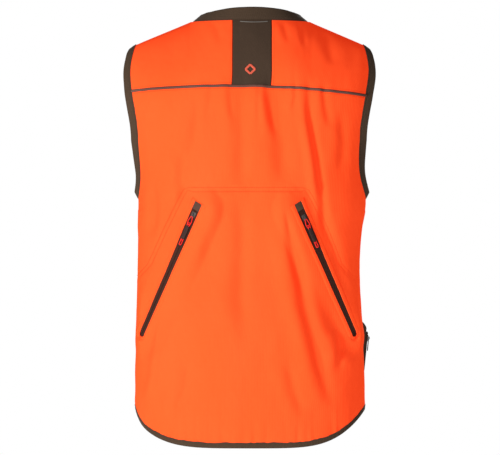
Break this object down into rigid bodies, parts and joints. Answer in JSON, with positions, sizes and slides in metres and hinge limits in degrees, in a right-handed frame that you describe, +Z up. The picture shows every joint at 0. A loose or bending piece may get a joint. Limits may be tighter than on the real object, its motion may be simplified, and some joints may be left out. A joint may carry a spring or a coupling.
{
  "type": "zip-front field vest",
  "caption": "Sleeveless field vest with bound armholes, a stand collar, a front zip, slanted back zips into a game pocket and zipped side pockets.",
  "frame": {"origin": "centre of the neck opening, level with the neck seam at the shoulders, where the wearer's shoulders carry the garment", "axes": "+Z up, front faces -Y, the wearer's left is +X"},
  "size_m": [0.4106, 0.2515, 0.7258],
  "materials": {
    "orange_shell": "smooth woven blaze orange cloth",
    "brown_cloth": "brown woven cloth",
    "brown_knit": "brown knitted elastic binding",
    "bag_cloth": "coated brown nylon",
    "tan_cloth": "light brown bonded cloth",
    "coral_patch": "coral embroidered patch",
    "piping": "dark brown corded piping",
    "grey_tape": "light grey woven tape",
    "label": "blank satin label",
    "zip_tape": "woven zip tape",
    "zip_plastic": "moulded zip plastic",
    "coil_plastic": "nylon coil",
    "dark_metal": "dark enamel on zinc",
    "bright_metal": "nickel plate",
    "red_cord": "red braided cord",
    "grip_rubber": "moulded rubber grip"
  },
  "bodies": {
    "garment": {"back_panel": "orange_shell", "back_yoke_left": "orange_shell", "back_yoke_right": "orange_shell", "yoke_centre_panel": "brown_cloth", "yoke_emblem": "coral_patch", "yoke_piping": "piping", "front_panel_left": "orange_shell", "front_panel_right": "orange_shell", "collar": "brown_knit", "neck_seam_tape": "grey_tape", "hanger_loop": "brown_knit", "size_label": "label", "armhole_binding_left": "brown_knit", "armhole_binding_right": "brown_knit", "hem_binding": "brown_knit", "game_bag": "bag_cloth", "cargo_pocket_left": "brown_cloth", "cargo_pocket_right": "brown_cloth", "front_facing_left": "brown_cloth", "front_facing_right": "brown_cloth", "front_zip_tape_left": "zip_tape", "front_zip_tape_right": "zip_tape", "front_zip_teeth_left": "zip_plastic", "front_zip_teeth_right": "zip_plastic", "front_zip_top_stops": "zip_plastic", "front_zip_box": "zip_plastic", "front_zip_pins": "zip_plastic", "back_zip_tape_left": "zip_tape", "back_zip_tape_right": "zip_tape", "back_zip_coil_left": "coil_plastic", "back_zip_coil_right": "coil_plastic", "back_zip_garage_left": "tan_cloth", "back_zip_garage_right": "tan_cloth", "pocket_zip_tape_left": "zip_tape", "pocket_zip_tape_right": "zip_tape", "pocket_zip_coil_left": "coil_plastic", "pocket_zip_coil_right": "coil_plastic"},
    "front_slider": {"front_zip_slider": "dark_metal"},
    "front_puller": {"front_zip_puller": "dark_metal"},
    "back_slider_left": {"back_zip_slider_left": "dark_metal"},
    "back_pull_left": {"back_zip_cord_left": "red_cord", "back_zip_grip_left": "grip_rubber"},
    "back_slider_right": {"back_zip_slider_right": "dark_metal"},
    "back_pull_right": {"back_zip_cord_right": "red_cord", "back_zip_grip_right": "grip_rubber"},
    "pocket_slider_left": {"pocket_zip_slider_left": "dark_metal"},
    "pocket_pull_left": {"pocket_zip_puller_left": "bright_metal"},
    "pocket_slider_right": {"pocket_zip_slider_right": "dark_metal"},
    "pocket_pull_right": {"pocket_zip_puller_right": "bright_metal"}
  },
  "joints": [
    {"name": "front_zip_slide", "type": "slide", "parent": "garment", "child": "front_slider", "axis": [0, 0, -1], "range_m": [0, 0.554]},
    {"name": "front_puller_swing", "type": "hinge", "parent": "front_slider", "child": "front_puller", "pos_m": [0, -0.1194, -0.075], "axis": [-1, 0, 0], "range_deg": [0, 165]},
    {"name": "back_left_zip_slide", "type": "slide", "parent": "garment", "child": "back_slider_left", "axis": [0.3882, -0.2485, -0.8874], "range_m": [0, 0.205]},
    {"name": "back_left_puller_swing", "type": "hinge", "parent": "back_slider_left", "child": "back_pull_left", "pos_m": [0.09423, 0.11276, -0.31987], "axis": [0.7475, -0.4784, 0.461], "range_deg": [0, 165]},
    {"name": "back_right_zip_slide", "type": "slide", "parent": "garment", "child": "back_slider_right", "axis": [-0.3882, -0.2485, -0.8874], "range_m": [0, 0.205]},
    {"name": "back_right_puller_swing", "type": "hinge", "parent": "back_slider_right", "child": "back_pull_right", "pos_m": [-0.08917, 0.11152, -0.32431], "axis": [0.7475, 0.4784, -0.461], "range_deg": [0, 165]},
    {"name": "pocket_left_zip_slide", "type": "slide", "parent": "garment", "child": "pocket_slider_left", "axis": [0, 0, -1], "range_m": [0, 0.072]},
    {"name": "pocket_left_puller_swing", "type": "hinge", "parent": "pocket_slider_left", "child": "pocket_pull_left", "pos_m": [0.18728, -0.062, -0.525], "axis": [0, -1, 0], "range_deg": [0, 165]},
    {"name": "pocket_right_zip_slide", "type": "slide", "parent": "garment", "child": "pocket_slider_right", "axis": [0.0993, 0, -0.9951], "range_m": [0, 0.072]},
    {"name": "pocket_right_puller_swing", "type": "hinge", "parent": "pocket_slider_right", "child": "pocket_pull_right", "pos_m": [-0.19786, -0.056, -0.52548], "axis": [0, 1, 0], "range_deg": [0, 165]}
  ]
}
